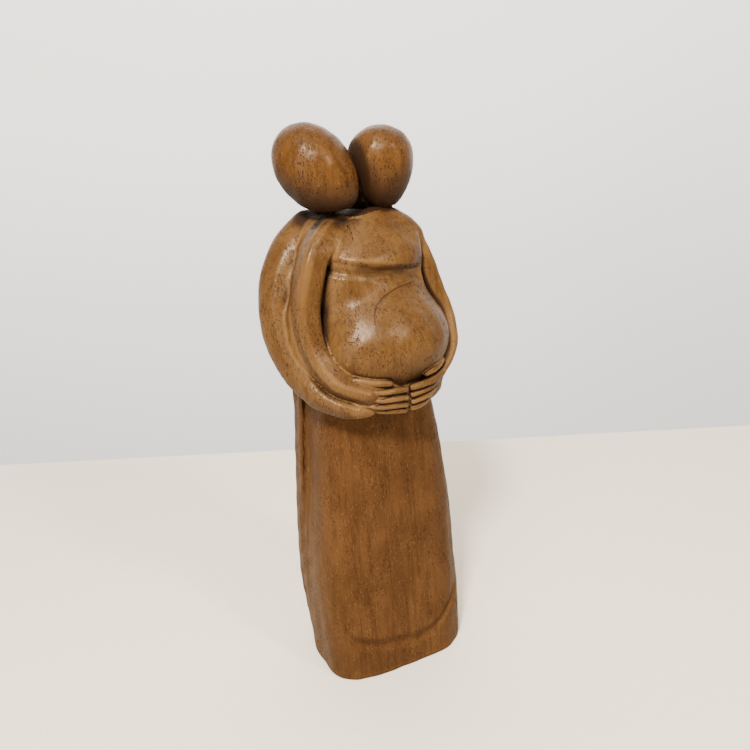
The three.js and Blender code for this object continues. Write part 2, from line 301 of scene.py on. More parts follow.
def column(rows):
    """A standing form with a rounded-box section that changes with height."""
    table = through(rows, 6)

    def distance(x, y, z):
        cx, cy, a, b, square = (
            np.interp(z, table[:, 0], table[:, i]).astype(np.float32) for i in range(1, 6)
        )
        u = np.abs(x - cx) / a
        v = np.abs(y - cy) / b
        radial = (u**square + v**square) ** (1 / square)
        side = (radial - 1) * np.minimum(a, b)
        return np.maximum(side, np.maximum(table[0, 0] - z, z - table[-1, 0]))

    widest = table[:, 3:5].max(0) + 3
    low = (*(table[:, 1:3].min(0) - widest), table[0, 0])
    high = (*(table[:, 1:3].max(0) + widest), table[-1, 0] + 3)
    return distance, low, high


def limb(rows, steps=5, ridge=None):
    """A form swept along a curve with a changing radius. A ridge gives it a roof-like section."""
    curve = through(rows, steps)

    def distance(x, y, z):
        best = None
        for start, end in zip(curve[:-1], curve[1:]):
            step = end - start
            length2 = float(step[:3] @ step[:3])
            px, py, pz = x - start[0], y - start[1], z - start[2]
            t = np.clip((px * step[0] + py * step[1] + pz * step[2]) / length2, 0, 1)
            px, py, pz = px - t * step[0], py - t * step[1], pz - t * step[2]
            radius = start[3] + t * step[3]
            apart2 = px**2 + py**2 + pz**2
            gap = np.sqrt(apart2) - radius
            if ridge is not None:
                along = step[:3] / math.sqrt(length2)
                top = np.array(ridge[0]) - along * float(along @ ridge[0])
                top = top / np.linalg.norm(top)
                rise = px * top[0] + py * top[1] + pz * top[2]
                aside = np.sqrt(np.maximum(apart2 - rise**2, 0) + RIDGE_ROUND**2)
                roof = (rise + aside) * math.sqrt(0.5) - ridge[1] * radius
                gap = smooth_max(gap, roof, FLATS_ROUND)
            best = gap if best is None else np.minimum(best, gap)
        return best

    reach = curve[:, 3].max() + 4
    return distance, curve[:, :3].min(0) - reach, curve[:, :3].max(0) + reach


def ball(centre, radii, rise, power, slope, bottom=None):
    """An ellipsoid that reaches up by rise, squarer with a higher power, its upper front sloped
    back like a cone. A sloping plane may cut its bottom off."""
    width, middle, outward, upward, far, soft = slope

    def distance(x, y, z):
        px, py, pz = (value - c for value, c in zip((x, y, z), centre))
        tall = np.where(pz > 0, rise, radii[2])
        across = np.abs(px / radii[0]) ** power + np.abs(py / radii[1]) ** power
        size = (across + np.abs(pz / tall) ** power) ** (1 / power) + 1e-6
        result = (1 - 1 / size) * np.sqrt(px**2 + py**2 + pz**2)
        cone = outward * np.hypot(width * (x - middle), y) + upward * z - far
        result = smooth_max(result, cone, soft)
        if bottom:
            result = smooth_max(result, bottom[0] - bottom[1] * x - z, BUST_EDGE)
        return result

    reach = np.array([radii[0], radii[1], max(radii[2], rise)]) + 5
    return distance, np.array(centre) - reach, np.array(centre) + reach


def egg(centre, chin, half, radius, taper, chin_z):
    """A head: an ellipsoid that narrows towards the chin, which is cut flat."""
    along = np.array(chin) / np.linalg.norm(chin)
    side = np.cross((0, -1, 0), along)
    side = side / np.linalg.norm(side)
    up = np.cross(along, side)

    def distance(x, y, z):
        px, py, pz = x - centre[0], y - centre[1], z - centre[2]
        s = px * along[0] + py * along[1] + pz * along[2]
        narrow = 1 - taper * np.clip(s / half, -1.2, 1.2)
        u = (px * side[0] + py * side[1] + pz * side[2]) / narrow
        v = (px * up[0] + py * up[1] + pz * up[2]) / narrow
        round2 = (u**2 + v**2) / radius**2
        k0 = np.sqrt(round2 + (s / half) ** 2)
        k1 = np.sqrt(round2 / radius**2 + (s / half**2) ** 2) + 1e-6
        return smooth_max(0.9 * k0 * (k0 - 1) / k1, chin_z - z, CHIN_ROUND)

    reach = half + 5
    return distance, [c - reach for c in centre], [c + reach for c in centre]


HEM_CURVE = through(HEM_LINE, 6)


def above_hem(x, z):
    """The height above the hem's step."""
    return z - np.interp(x, HEM_CURVE[:, 0], HEM_CURVE[:, 1]).astype(np.float32)


def robe_form():
    """The rear figure's robe: a column cut off in front."""
    plain, low, high = column(REAR_ROBE)

    def distance(x, y, z):
        return smooth_max(plain(x, y, z), ROBE_FRONT_Y - y + 0 * x, ROBE_EDGE)

    return distance, low, high


def under_bust(form):
    """The form with the hollow between the bust and the belly cut into it."""
    plain, low, high = form

    def distance(x, y, z):
        above = z - BUST_LINE[0] + BUST_LINE[1] * x
        across = smooth_step(BUST_LIP, BUST_BED[1], above)
        across = across * smooth_step(-BELLY_LIP, BUST_BED[0], above)
        depth = BUST_DEPTH * across * smooth_step(*BUST_FADE_X, x) * smooth_step(*BUST_FADE_Y, y)
        return plain(x, y, z) + depth

    return distance, low, high


def skirt_form():
    """The front figure's skirt and the block below its hem, with the carved step between them."""
    plain, low, high = column(FRONT_SKIRT)

    def distance(x, y, z):
        flat = CORNER_FLAT[0] * x + CORNER_FLAT[1] * y - CORNER_FLAT[2]
        flat = flat - FLAT_FOOT * smooth_step(*FLAT_FOOT_FADE, z)
        turned = y + FOOT_TURN * (x - TURN_X) * smooth_step(*TURN_FADE, z)
        above = above_hem(x, z)
        softness = STEP_SOFT + STEP_SOFTER * smooth_step(*STEP_RIGHT, x)
        softness = softness + STEP_SOFTER * smooth_step(*STEP_LEFT, x)
        proud = HEM_PROUD * smooth_step(softness, -softness, above)
        strength = smooth_step(*HEM_FADE_X, x) * smooth_step(*HEM_FADE_Z, z)
        strength = strength * smooth_step(*HEM_FADE_Y, y)
        hollow = HEM_DEPTH * strength * smooth_step(HEM_REACH, HEM_BED, above)
        hollow = hollow * smooth_step(-HEM_LIP, HEM_BED, above)
        return smooth_max(plain(x, turned, z), flat, FLAT_ROUND) + hollow - proud

    return distance, low, high


def hem_form():
    """The space that the block under the hem owns. The skirt's form holds its wood already."""
    plain, low, _ = column(FRONT_SKIRT)

    def distance(x, y, z):
        inside = np.maximum(plain(x, y, z) - HEM_CLAIM, above_hem(x, z))
        return np.maximum(inside, y - HEM_BACK_Y)

    return distance, low, (60, HEM_BACK_Y, 45)


def by_height(low, high, at_low, at_high):
    """A width or depth that changes from one value to another between two heights."""
    return lambda x, z: at_low + (at_high - at_low) * smooth_step(low, high, z)


# The front right arm's middle line, from the hand up, parts its belly side from its outer side.
INNER_MIDDLE = np.array(FRONT_RIGHT_ARM[::-1])
SIDE_SOFT = 3
# The groove on the belly side: its depth, how much deeper it gets, and between which heights.
BELLY_GROOVE, CHEST_GROOVE, CHEST_RISE = 0.2, 0.4, (176, 190)
# The groove on the outer side: its depth, and the heights between which it fades out.
FOREARM_GROOVE, FOREARM_FADE = 0.7, (165, 150)
SHOULDER_FADE = (206, 196)  # both grooves fade out between these
# The width of the arm's join, how much wider it is on the outer side at the hand, how much more
# that is higher up, and how much wider the join gets at the shoulder.
INNER_JOIN, HAND_JOIN, ARMS_JOIN, ARMS_RISE = 1.0, 1.0, 4.3, (146, 168)
SHOULDER_JOIN, SHOULDER_RISE = 6.0, (194, 203)


def outer_side(x, z):
    """1 on the side of the front right arm that faces away from the belly, 0 beside the belly."""
    return smooth_step(0, SIDE_SOFT, np.interp(z, INNER_MIDDLE[:, 2], INNER_MIDDLE[:, 0]) - x)


def inner_groove(x, z):
    """The front right arm is parted from the belly and, low down, from the arm outside it."""
    outer = outer_side(x, z)
    belly_side = (1 - outer) * (BELLY_GROOVE + CHEST_GROOVE * smooth_step(*CHEST_RISE, z))
    arm_side = FOREARM_GROOVE * outer * smooth_step(*FOREARM_FADE, z)
    return (belly_side + arm_side) * smooth_step(*SHOULDER_FADE, z)


def inner_join(x, z):
    """The arms run softly into each other higher up, and the shoulder into the chest."""
    beside = outer_side(x, z) * (HAND_JOIN + ARMS_JOIN * smooth_step(*ARMS_RISE, z))
    return INNER_JOIN + np.maximum(beside, SHOULDER_JOIN * smooth_step(*SHOULDER_RISE, z))


# Every form in the order that it is joined on: node, form, width of the soft join, depth of the
# groove cut along the join, width of the groove, rank. A form owns all the wood inside it that no
# form of a higher rank claims. Wood that only the joins filled goes to the nearest form.
ARM_JOIN = by_height(182, 206, 1.0, 6.0)
LEFT_JOIN = by_height(194, 203, 1.2, 7.0)
ARM_GROOVE = by_height(194, 204, 0.5, 0)
LEFT_GROOVE = by_height(198, 206, 1.5, 0)
SKIRT_JOIN = by_height(40, 90, 1.5, 5.0)
SKIRT_GROOVE = by_height(40, 80, 0.1, 0.6)
INNER_LIMB = limb(FRONT_RIGHT_ARM, ridge=FRONT_RIGHT_RIDGE)
LEFT_LIMB = limb(FRONT_LEFT_ARM, ridge=FRONT_LEFT_RIDGE)
FORMS = [
    ("rear_robe", robe_form(), 1, 0, 1, 0),
    ("front_skirt", skirt_form(), SKIRT_JOIN, SKIRT_GROOVE, 0.8, 0),
    ("trunk", under_bust(column(TRUNK)), 2.0, 0, 1, 0),
    ("belly", under_bust(ball(*BELLY, BELLY_SLOPE)), 2.5, 0, 1, 2),
    ("chest", under_bust(ball(*CHEST, CHEST_SLOPE, BUST_LINE)), 4.5, 0, 1, 1),
    ("rear_right_arm", limb(REAR_RIGHT_ARM, ridge=REAR_RIDGE), ARM_JOIN, ARM_GROOVE, 1.4, 4),
    ("rear_left_arm", limb(REAR_LEFT_ARM, ridge=REAR_RIDGE), ARM_JOIN, ARM_GROOVE, 1.4, 4),
    ("front_right_arm", INNER_LIMB, inner_join, inner_groove, 1.2, 5),
    ("front_left_arm", LEFT_LIMB, LEFT_JOIN, LEFT_GROOVE, 1.5, 5),
    ("front_right_palm", limb(RIGHT_PALM), 3, 0, 1, 6),
    ("front_left_palm", limb(LEFT_PALM), 3, 0, 1, 6),
    ("front_right_thumb", limb(RIGHT_THUMB), 0.6, 0.25, 0.8, 7),
    ("front_left_thumb", limb(LEFT_THUMB), 0.6, 0.25, 0.8, 7),
]
for side, fingers in (("right", RIGHT_FINGERS), ("left", LEFT_FINGERS)):
    for number, finger in enumerate(fingers, 1):
        FORMS.append((f"front_{side}_finger_{number}", limb(finger), 0.35, 0.35, 0.6, 8))
FORMS += [
    ("rear_neck", limb(REAR_NECK, 1), 0.5, 2.1, 2.4, 3),
    ("front_neck", limb(FRONT_NECK, 1), 0.5, 1.4, 1.8, 3),
    ("rear_head", egg(*REAR_HEAD), 0.4, 0.8, 1.6, 9),
    ("front_head", egg(*FRONT_HEAD), 0.4, 0.3, 1.0, 9),
]
# The hem's block owns wood, but joins nothing on: node, form, rank.
HEM = ("hem_block", hem_form(), 1)
NODES = [form[0] for form in FORMS] + [HEM[0]]
RANK_STEP = 100  # more than any distance, so that a higher rank always wins


def tool_marks(x, y, z):
    """Slow unevenness left by the knife, less than half a millimetre deep."""
    long_waves = np.sin(0.42 * x + 1.3) * np.sin(0.35 * y + 0.4) * np.sin(0.071 * z + 0.9)
    short_waves = np.sin(0.63 * x - 0.31 * z + 2.0) * np.sin(0.57 * y + 0.22 * z)
    return 0.2 * long_waves + 0.09 * short_waves


class Grid:
    """Sample points on a grid whose lines may be unevenly spaced."""

    def __init__(self, axes):
        self.axes = axes
        self.shape = tuple(len(axis) for axis in axes)

    def window(self, low, high):
        cuts = tuple(
            slice(*np.searchsorted(axis, ends)) for axis, ends in zip(self.axes, zip(low, high))
        )
        x, y, z = (axis[cut] for axis, cut in zip(self.axes, cuts))
        return cuts, x[:, None, None], y[None, :, None], z[None, None, :]


class Cloud:
    """Loose sample points."""

    def __init__(self, points):
        self.points = points
        self.shape = (len(points),)

    def window(self, low, high):
        within = (self.points > np.float32(low)) & (self.points < np.float32(high))
        inside = np.flatnonzero(within.all(1))
        return (inside, *self.points[inside].T)


def carve(samples, with_owners=False):
    """The distance to the carving's surface at the samples, and the form that owns each one."""
    surface = np.full(samples.shape, FAR, np.float32)
    owners = np.zeros(samples.shape, np.uint8)
    claims = np.full(samples.shape, FAR, np.float32)

    def claim(where, distance, rank, index):
        value = np.where(distance < 0, distance - RANK_STEP * rank, distance)
        better = value < claims[where]
        claims[where] = np.where(better, value, claims[where])
        owners[where] = np.where(better, index, owners[where])

    for index, (_, (distance, low, high), blend, groove, width, rank) in enumerate(FORMS, 1):
        where, x, y, z = samples.window(low, high)
        found = distance(x, y, z).astype(np.float32)
        before = surface[where]
        softness = blend(x, z) if callable(blend) else blend
        depth = groove(x, z) if callable(groove) else groove
        merged = smooth_min(before, found, softness)
        surface[where] = merged + depth * np.exp(-(((before - found) / width) ** 2))
        if with_owners:
            claim(where, found, rank, index)
    if with_owners:
        _, (distance, low, high), rank = HEM
        where, x, y, z = samples.window(low, high)
        claim(where, distance(x, y, z).astype(np.float32), rank, len(NODES))
    everywhere, x, y, z = samples.window(*EVERYWHERE)
    surface[everywhere] += tool_marks(x, y, z).astype(np.float32)
    marked = surface[everywhere]
    surface[everywhere] = smooth_max(marked, -z + 0 * marked, FOOT_ROUND)
    return surface, owners


# ---------------------------------------------------------------------------------------------
# Meshing: one surface for the whole carving, shared out to the nodes
# ---------------------------------------------------------------------------------------------

# The size of the grid's cells in mm, and their size round the hands.
COARSE = 0.85
FINE = 0.42
# Where the grid starts and ends, and where its fine lines start and end.
GRID_X = (-47, 43, -19, 20)
GRID_Y = (-43, 31, -42, -30)
GRID_Z = (-1.6, 252, 137, 154)


def spaced(low, high, fine_low, fine_high, ramp=8.0):
    """Grid lines from low to high, close together between fine_low and fine_high."""
    lines = [low]
    while lines[-1] < high:
        outside = max(fine_low - lines[-1], lines[-1] - fine_high, 0)
        lines.append(lines[-1] + FINE + (COARSE - FINE) * min(outside / ramp, 1))
    return np.array(lines, np.float32)


def corner(values, dx, dy, dz):
    """The value at one corner of every cell."""
    nx, ny, nz = (n - 1 for n in values.shape)
    return values[dx : dx + nx, dy : dy + ny, dz : dz + nz]


def surface_net(grid):
    """Vertices and, for each owner, its quads. Every cell that more than one owner touches has one
    vertex; a vertex on the outside of the wood is marked in outer."""
    surface, owners = carve(grid, with_owners=True)
    owners[surface >= 0] = 0
    corners = [(i, j, k) for i in (0, 1) for j in (0, 1) for k in (0, 1)]
    first = corner(owners, 0, 0, 0)
    mixed = np.zeros(first.shape, bool)
    for place in corners[1:]:
        mixed |= corner(owners, *place) != first
    cells = np.argwhere(mixed)
    number = np.full(first.shape, -1, np.int32)
    number[mixed] = np.arange(len(cells), dtype=np.int32)

    at = {place: tuple((cells + place).T) for place in corners}
    held = {place: owners[at[place]] for place in corners}
    depth = {place: surface[at[place]] for place in corners}
    spot = {place: np.stack([grid.axes[i][at[place][i]] for i in range(3)], 1) for place in corners}
    outer_sum, inner_sum = np.zeros((len(cells), 3)), np.zeros((len(cells), 3))
    outer_count, inner_count = np.zeros(len(cells)), np.zeros(len(cells))
    for a in corners:
        for axis in range(3):
            if a[axis]:
                continue
            b = tuple(1 if i == axis else a[i] for i in range(3))
            skin = (held[a] == 0) != (held[b] == 0)
            inside = (held[a] != held[b]) & ~skin
            span = depth[a] - depth[b]
            t = np.where(skin, depth[a] / np.where(span == 0, 1, span), 0.5)[:, None]
            crossing = spot[a] + t * (spot[b] - spot[a])
            outer_sum += crossing * skin[:, None]
            outer_count += skin
            inner_sum += crossing * inside[:, None]
            inner_count += inside
    outer = outer_count > 0
    outer_mean = outer_sum / np.maximum(outer_count, 1)[:, None]
    inner_mean = inner_sum / np.maximum(inner_count, 1)[:, None]
    points = np.where(outer[:, None], outer_mean, inner_mean)

    quads = {index: [] for index in range(1, len(NODES) + 1)}
    for axis in range(3):
        u, v = (axis + 1) % 3, (axis + 2) % 3
        low = [slice(None)] * 3
        high = [slice(None)] * 3
        low[axis], high[axis] = slice(0, -1), slice(1, None)
        for side in (u, v):
            low[side] = high[side] = slice(1, -1)
        a, b = owners[tuple(low)], owners[tuple(high)]
        edges = np.argwhere(a != b)
        low_owner, high_owner = a[tuple(edges.T)], b[tuple(edges.T)]
        edges[:, u] += 1
        edges[:, v] += 1
        ring = []
        for du, dv in ((-1, -1), (0, -1), (0, 0), (-1, 0)):
            cell = edges.copy()
            cell[:, u] += du
            cell[:, v] += dv
            ring.append(number[tuple(cell.T)])
        ring = np.stack(ring, 1)
        for index in quads:
            quads[index].append(ring[low_owner == index])
            quads[index].append(ring[high_owner == index][:, ::-1])
    return points, outer, {index: np.vstack(found) for index, found in quads.items()}


TETRAHEDRON = np.array([(1, -1, -1), (-1, -1, 1), (-1, 1, -1), (1, 1, 1)], np.float32)


def slope(points, step=0.12):
    """The field and its gradient at the points."""
    values = [carve(Cloud((points + step * way).astype(np.float32)))[0] for way in TETRAHEDRON]
    gradient = sum(value[:, None] * way for value, way in zip(values, TETRAHEDRON)) / (4 * step)
    return sum(values) / 4, gradient


def settle(points, outer, faces):
    """Moves the outer vertices onto the surface, and evens out the hidden ones between forms."""
    limit = COARSE * 0.7
    skin = points[outer]
    for _ in range(2):
        value, gradient = slope(skin)
        steepness = np.maximum((gradient**2).sum(1), 0.2)
        move = -(value / steepness)[:, None] * gradient
        length = np.linalg.norm(move, axis=1, keepdims=True)
        skin = skin + move * np.minimum(1, limit / np.maximum(length, 1e-9))
    points[outer] = skin

    ends = np.vstack([faces[:, (i, (i + 1) % 4)] for i in range(4)])
    ends = np.vstack([ends, ends[:, ::-1]])
    hidden = ~outer
    count = np.bincount(ends[:, 0], minlength=len(points)).astype(float)
    for _ in range(6):
        sums = [np.bincount(ends[:, 0], points[ends[:, 1], i], len(points)) for i in range(3)]
        mean = np.stack(sums, 1) / np.maximum(count, 1)[:, None]
        points[hidden] = mean[hidden]
    return points


grid = Grid([spaced(*GRID_X), spaced(*GRID_Y), spaced(*GRID_Z)])
points, outer, quads = surface_net(grid)
points = settle(points, outer, np.vstack(list(quads.values())))

normals = np.zeros_like(points)
_, gradient = slope(points[outer])
normals[outer] = gradient / np.maximum(np.linalg.norm(gradient, axis=1, keepdims=True), 1e-9)
normals[~outer] = (0, 0, 1)


def hollowness(reach):
    """0 on an open or bulging surface, up to 1 deep in a crease, judged over that reach in mm."""
    result = np.zeros(len(points))
    away = (points[outer] + reach * normals[outer]).astype(np.float32)
    result[outer] = np.clip(1 - carve(Cloud(away))[0] / reach, 0, 1)
    return result


def sharpness(reach):
    """0 where the wood is thick behind the surface, up to 1 on a thin ridge or edge."""
    result = np.zeros(len(points))
    within = (points[outer] - reach * normals[outer]).astype(np.float32)
    result[outer] = np.clip(1 + carve(Cloud(within))[0] / reach, 0, 1)
    return result


TRAITS = {
    "crease": hollowness(1.6),
    "hollow": hollowness(6.0),
    "shelter": hollowness(11.0),
    "ridge": sharpness(4.0),
}

# ---------------------------------------------------------------------------------------------
# Materials
# ---------------------------------------------------------------------------------------------


class Shader:
    """A small helper that adds nodes to a material and links them."""

    def __init__(self, name):
        self.material = bpy.data.materials.new(name)
        self.material.use_nodes = True
        self.tree = self.material.node_tree
        self.surface = self.tree.nodes["Principled BSDF"]

    def add(self, kind, inputs=(), **settings):
        node = self.tree.nodes.new(kind)
        for key, value in settings.items():
            setattr(node, key, value)
        for key, value in dict(inputs).items():
            self.put(node.inputs[key], value)
        return node

    def put(self, socket, value):
        if isinstance(value, bpy.types.NodeSocket):
            self.tree.links.new(value, socket)
        else:
            socket.default_value = value

    def math(self, operation, a, b=0.0, c=0.0, clamp=False):
        node = self.add("ShaderNodeMath", {0: a, 1: b, 2: c}, operation=operation, use_clamp=clamp)
        return node.outputs[0]

    def vector(self, operation, a, b):
        return self.add("ShaderNodeVectorMath", {0: a, 1: b}, operation=operation).outputs[0]

    def ramp(self, value, low, high, to_low=0.0, to_high=1.0):
        inputs = {"Value": value, "From Min": low, "From Max": high}
        inputs |= {"To Min": to_low, "To Max": to_high}
        node = self.add("ShaderNodeMapRange", inputs, interpolation_type="SMOOTHSTEP")
        return node.outputs["Result"]

    def noise(self, place, scale, detail=2.0, roughness=0.5):
        inputs = {"Vector": place, "Scale": scale, "Detail": detail, "Roughness": roughness}
        return self.add("ShaderNodeTexNoise", inputs).outputs["Fac"]

    def mix(self, factor, a, b, blend="MIX"):
        node = self.add("ShaderNodeMix", data_type="RGBA", blend_type=blend)
        for socket, value in zip((node.inputs[0], node.inputs[6], node.inputs[7]), (factor, a, b)):
            self.put(socket, value)
        return node.outputs[2]


def colour(r, g, b):
    return (r, g, b, 1.0)


# Light, middle and dark tone of the wood for each slot.
TONES = {
    "polished_wood": (
        colour(0.105, 0.05, 0.0145),
        colour(0.071, 0.031, 0.0083),
        colour(0.04, 0.0155, 0.004),
    ),
    "head_wood": (
        colour(0.093, 0.039, 0.0095),
        colour(0.059, 0.0225, 0.0052),
        colour(0.031, 0.0113, 0.0027),
    ),
    "robe_wood": (
        colour(0.084, 0.0365, 0.0115),
        colour(0.058, 0.0238, 0.0072),
        colour(0.034, 0.0132, 0.004),
    ),
}
# How the slots differ: roughness, gloss, how much painted shade darkens their undersides, how
# dark their pores are, and how much a painted highlight lightens their ridges.
POLISH = {
    "polished_wood": (0.18, 0.35, 0.6, 0.7, 0.35),
    "head_wood": (0.16, 0.34, 0.95, 0.8, 0.0),
    "robe_wood": (0.36, 0.12, 0.5, 0.45, 0.05),
}
WOOD_PALE = colour(0.2, 0.1, 0.032)
PORE = colour(0.014, 0.005, 0.002)
# a near-black brown, used for dirt and for painted shade
SHADE_AND_GRIME = colour(0.012, 0.0045, 0.002)
PITH = (6.0, 34.0)  # where the middle of the trunk stood, in mm
RING_WIDTH = 5.2


def growth_line(s, x, y, z, bend):
    """One growth ring shows as a fine dark arc over the top of the belly, on the figures' right."""
    half_thickness, wander = 0.02, 0.12
    across, up, half_width, half_height = 14.0, 165.0, 24.5, 20.0
    u = s.math("DIVIDE", s.math("SUBTRACT", x, across), half_width)
    v = s.math("DIVIDE", s.math("SUBTRACT", z, up), half_height)
    u, v = (s.math("POWER", s.math("ABSOLUTE", value), 3.0) for value in (u, v))
    radius = s.math("POWER", s.math("ADD", u, v), 1 / 3)
    radius = s.math("ADD", radius, s.math("MULTIPLY_ADD", bend, wander, -wander / 2))
    away = s.math("ABSOLUTE", s.math("SUBTRACT", radius, 1.0))
    line = s.ramp(away, 0.0, half_thickness, 1.0, 0.0)
    for value, low, high in ((x, 18.0, 12.0), (y, -12.0, -18.0), (z, 166.0, 174.0)):
        line = s.math("MULTIPLY", line, s.ramp(value, low, high))
    return line


def carved_wood(name):
    light, middle, dark = TONES[name]
    roughness, gloss, underside_shade_strength, pore_dark, ridge_highlight_strength = POLISH[name]
    s = Shader(name)
    coordinates = s.add("ShaderNodeTexCoord")
    place = s.vector("MULTIPLY", coordinates.outputs["Object"], (1000, 1000, 1000))
    facing_z = s.add("ShaderNodeSeparateXYZ", {0: coordinates.outputs["Normal"]}).outputs[2]
    x, y, z = s.add("ShaderNodeSeparateXYZ", {0: place}).outputs
    crease, hollow, shelter, ridge = (
        s.add("ShaderNodeAttribute", attribute_name=trait).outputs["Fac"] for trait in TRAITS
    )

    # growth rings round the pith, bent by slow noise
    bend = s.noise(s.vector("MULTIPLY", place, (0.03, 0.03, 0.012)), 1.0, 2.0)
    dx = s.math("SUBTRACT", x, PITH[0])
    dy = s.math("SUBTRACT", y, PITH[1])
    radius = s.math("SQRT", s.math("ADD", s.math("MULTIPLY", dx, dx), s.math("MULTIPLY", dy, dy)))
    phase = s.math("MULTIPLY_ADD", bend, 26.0, radius)
    ring = s.math("FRACT", s.math("DIVIDE", phase, RING_WIDTH))
    late = s.ramp(ring, 0.45, 1.0)

    streak = s.noise(s.vector("MULTIPLY", place, (0.55, 0.55, 0.022)), 1.0, 3.0, 0.6)
    fibre = s.noise(s.vector("MULTIPLY", place, (3.2, 3.2, 0.13)), 1.0, 3.0, 0.65)
    blotch = s.noise(s.vector("MULTIPLY", place, (0.09, 0.09, 0.05)), 1.0, 3.0, 0.55)
    fleck = s.noise(s.vector("MULTIPLY", place, (0.9, 0.9, 0.28)), 1.0, 4.0, 0.7)

    tone = s.mix(s.ramp(blotch, 0.3, 0.72), middle, light)
    tone = s.mix(s.math("MULTIPLY", s.ramp(streak, 0.44, 0.72), 0.55), tone, dark)
    tone = s.mix(s.math("MULTIPLY", late, 0.2), tone, dark)
    tone = s.mix(s.math("MULTIPLY", s.ramp(fleck, 0.52, 0.72), 0.4), tone, light)
    tone = s.mix(s.math("MULTIPLY", s.ramp(fibre, 0.42, 0.7), 0.35), tone, dark)

    # open pores: short dark dashes along the grain
    stray = s.add("ShaderNodeTexNoise", {"Vector": place, "Scale": 0.5, "Detail": 2.0})
    strayed = s.vector("MULTIPLY", stray.outputs["Color"], (2.5, 2.5, 4.0))
    cells = s.vector("MULTIPLY", s.vector("ADD", place, strayed), (1.25, 1.25, 0.42))
    pores = s.add("ShaderNodeTexVoronoi", {"Vector": cells, "Scale": 1.0, "Randomness": 1.0})
    crowd = s.noise(s.vector("MULTIPLY", place, (0.16, 0.16, 0.05)), 1.0, 2.0)
    size = s.ramp(crowd, 0.32, 0.6, 0.12, 0.36)
    pore = s.math("SUBTRACT", size, pores.outputs["Distance"], clamp=True)
    pore = s.ramp(pore, 0.0, 0.05)
    tone = s.mix(s.math("MULTIPLY", pore, pore_dark), tone, PORE)
    pale = s.noise(s.vector("MULTIPLY", place, (1.6, 1.6, 0.5)), 1.0, 2.0, 0.6)
    tone = s.mix(s.math("MULTIPLY", s.ramp(pale, 0.6, 0.72), 0.35), tone, WOOD_PALE)

    # painted shade and dirt darken the creases and hollows and the polish dulls there, and a
    # painted highlight lightens the ridges
    creased, hollowed = s.ramp(crease, 0.4, 1.0), s.ramp(hollow, 0.5, 1.0)
    dirt_and_painted_shade = s.math("MAXIMUM", creased, s.math("MULTIPLY", hollowed, 0.4))
    tone = s.mix(s.math("MULTIPLY", dirt_and_painted_shade, 0.8), tone, SHADE_AND_GRIME)
    tone = s.mix(s.math("MULTIPLY", growth_line(s, x, y, z, bend), 0.75), tone, PORE)
    # painted shade: surfaces that face down, and surfaces deep under other forms, are darkened
    underside_shade = s.ramp(s.math("MULTIPLY", facing_z, -1.0), -0.15, 0.55)
    hollow_shade = s.math("MULTIPLY", s.ramp(shelter, 0.45, 0.9), 0.9)
    shade = s.math("MAXIMUM", hollow_shade, s.math("MULTIPLY", underside_shade, underside_shade_strength))
    tone = s.mix(shade, tone, SHADE_AND_GRIME)
    # painted highlight: thin ridges and edges are lightened towards the pale tone
    ridge_highlight = s.math("MULTIPLY", s.ramp(ridge, 0.17, 0.38), s.ramp(ridge, 0.8, 0.5))
    tone = s.mix(s.math("MULTIPLY", ridge_highlight, ridge_highlight_strength), tone, WOOD_PALE)
    s.put(s.surface.inputs["Base Color"], tone)

    rough = s.math("MULTIPLY_ADD", fleck, 0.25, roughness)
    rough = s.math("MULTIPLY_ADD", dirt_and_painted_shade, 0.3, rough)
    rough = s.math("MULTIPLY_ADD", shade, 0.3, rough)
    rough = s.math("MULTIPLY_ADD", pore, 0.3, rough)
    s.put(s.surface.inputs["Roughness"], rough)
    s.surface.inputs["IOR"].default_value = 1.3
    s.surface.inputs["Specular IOR Level"].default_value = gloss
    s.surface.inputs["Specular Tint"].default_value = colour(1.0, 0.8, 0.6)

    height = s.math("MULTIPLY_ADD", fibre, 0.35, s.math("MULTIPLY", pore, -0.9))
    wave = s.noise(s.vector("MULTIPLY", place, (0.35, 0.35, 0.2)), 1.0, 2.0)
    height = s.math("MULTIPLY_ADD", wave, 1.6, height)
    bump = s.add("ShaderNodeBump", {"Strength": 0.5, "Distance": 0.0002, "Height": height})
    s.put(s.surface.inputs["Normal"], bump.outputs["Normal"])
    return s.material


def matt(name, tone, roughness, glow=0.0):
    """A dull material for the stage, a little uneven in tone."""
    grain_scale, grain_dark = 260.0, 0.94
    s = Shader(name)
    grain = s.noise(s.add("ShaderNodeTexCoord").outputs["Object"], grain_scale, 3.0)
    darker = colour(*(grain_dark * c for c in tone[:3]))
    s.put(s.surface.inputs["Base Color"], s.mix(grain, tone, darker))
    s.surface.inputs["Roughness"].default_value = roughness
    s.surface.inputs["Specular IOR Level"].default_value = 0.25
    s.surface.inputs["Emission Color"].default_value = tone
    s.surface.inputs["Emission Strength"].default_value = glow
    return s.material


# ---------------------------------------------------------------------------------------------
# Pieces
# ---------------------------------------------------------------------------------------------

SLOT_OF = {part["node"]: part["material_slot"] for part in frame["record"]["subparts"]}
WOODS = {slot: carved_wood(slot) for slot in sorted(set(SLOT_OF.values()))}


def make_piece(node, faces):
    """The part of the carving's surface that belongs to one node, as its own object."""
    used, corners = np.unique(faces, return_inverse=True)
    corners = corners.reshape(-1, 4)
    mesh = bpy.data.meshes.new(f"carved_{node}")
    mesh.from_pydata((points[used] * MM).tolist(), [], corners.tolist())
    mesh.validate()
    for trait, values in TRAITS.items():
        layer = mesh.attributes.new(trait, "FLOAT", "POINT")
        layer.data.foreach_set("value", values[used].astype(np.float32))
    mesh.shade_smooth()
    mesh.normals_split_custom_set_from_vertices(normals[used].tolist())
    piece = bpy.data.objects.new(f"carved_{node}", mesh)
    bpy.context.scene.collection.objects.link(piece)
    mesh.materials.append(WOODS[SLOT_OF[node]])
    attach(piece, "root")
    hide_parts(node)


